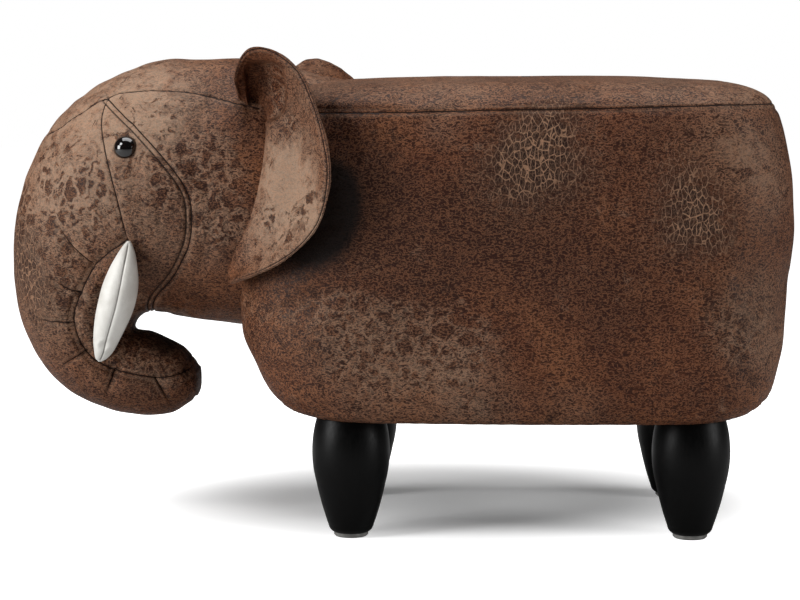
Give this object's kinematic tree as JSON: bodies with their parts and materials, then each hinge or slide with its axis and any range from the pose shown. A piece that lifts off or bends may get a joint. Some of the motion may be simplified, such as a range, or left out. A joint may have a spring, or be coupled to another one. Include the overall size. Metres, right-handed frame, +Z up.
{
  "type": "elephant stool",
  "caption": "Padded footstool shaped as an elephant: leather-covered body on turned legs, stuffed head with curled trunk, flapping ears and hanging tusks.",
  "frame": {"origin": "centre of the overall box at floor level, under the glides", "axes": "-X is where the elephant faces, -Y is its left side, +Z is up"},
  "size_m": [0.6239, 0.338, 0.3801],
  "materials": {
    "timber": "sawn plywood",
    "leg_lacquer": "black satin lacquer",
    "glide_plastic": "grey moulded",
    "steel": "zinc plated",
    "dust_cloth": "black non-woven",
    "leather_brown": "distressed, fine pebble grain",
    "padding": "foam and wadding",
    "leather_white": "smooth white",
    "eye_gloss": "polished dome",
    "washer_plastic": "moulded"
  },
  "bodies": {
    "root": {"base_board": "timber", "seat_board": "timber", "side_board_left": "timber", "side_board_right": "timber", "rear_board": "timber", "front_board": "timber", "head_plate": "timber", "corner_blocks": "timber", "leg_front_left": "leg_lacquer", "leg_front_right": "leg_lacquer", "leg_rear_left": "leg_lacquer", "leg_rear_right": "leg_lacquer", "leg_glides": "glide_plastic", "leg_bolts": "steel", "leg_tee_nuts": "steel", "head_plate_bolts": "steel", "dust_cover_staples": "steel", "dust_cover": "dust_cloth", "seat_cover_top": "leather_brown", "side_cover_left": "leather_brown", "side_cover_right": "leather_brown", "head_gusset": "leather_brown", "jaw_panel_left": "leather_brown", "jaw_panel_right": "leather_brown", "eye_panel_left": "leather_brown", "eye_panel_right": "leather_brown", "trunk_inner_panel_left": "leather_brown", "trunk_inner_panel_right": "leather_brown", "trunk_side_panel_left": "leather_brown", "trunk_side_panel_right": "leather_brown", "seat_padding": "padding", "body_padding": "padding", "head_stuffing": "padding", "trunk_stuffing": "padding", "eye_left": "eye_gloss", "eye_right": "eye_gloss", "eye_washers": "washer_plastic"},
    "ear_left": {"ear_face_left": "leather_brown", "ear_padding_left": "padding", "ear_back_left": "leather_brown"},
    "tusk_left": {"tusk_cover_left": "leather_white", "tusk_filling_left": "padding"},
    "ear_right": {"ear_face_right": "leather_brown", "ear_padding_right": "padding", "ear_back_right": "leather_brown"},
    "tusk_right": {"tusk_cover_right": "leather_white", "tusk_filling_right": "padding"}
  },
  "joints": [
    {"name": "ear_left_flap", "type": "hinge", "parent": "root", "child": "ear_left", "pos_m": [-0.129, -0.085, 0.204], "axis": [-0.0446, -0.0817, -0.9957], "range_deg": [0, 30], "stiffness_Nm_per_rad": 0.15},
    {"name": "tusk_left_swing", "type": "hinge", "parent": "root", "child": "tusk_left", "pos_m": [-0.2044, -0.091, 0.2316], "axis": [-1, 0, 0], "range_deg": [0, 25], "stiffness_Nm_per_rad": 0.03},
    {"name": "ear_right_flap", "type": "hinge", "parent": "root", "child": "ear_right", "pos_m": [-0.129, 0.085, 0.204], "axis": [0.0446, -0.0817, 0.9957], "range_deg": [0, 30], "stiffness_Nm_per_rad": 0.15},
    {"name": "tusk_right_swing", "type": "hinge", "parent": "root", "child": "tusk_right", "pos_m": [-0.2044, 0.091, 0.2316], "axis": [1, 0, 0], "range_deg": [0, 25], "stiffness_Nm_per_rad": 0.03}
  ]
}
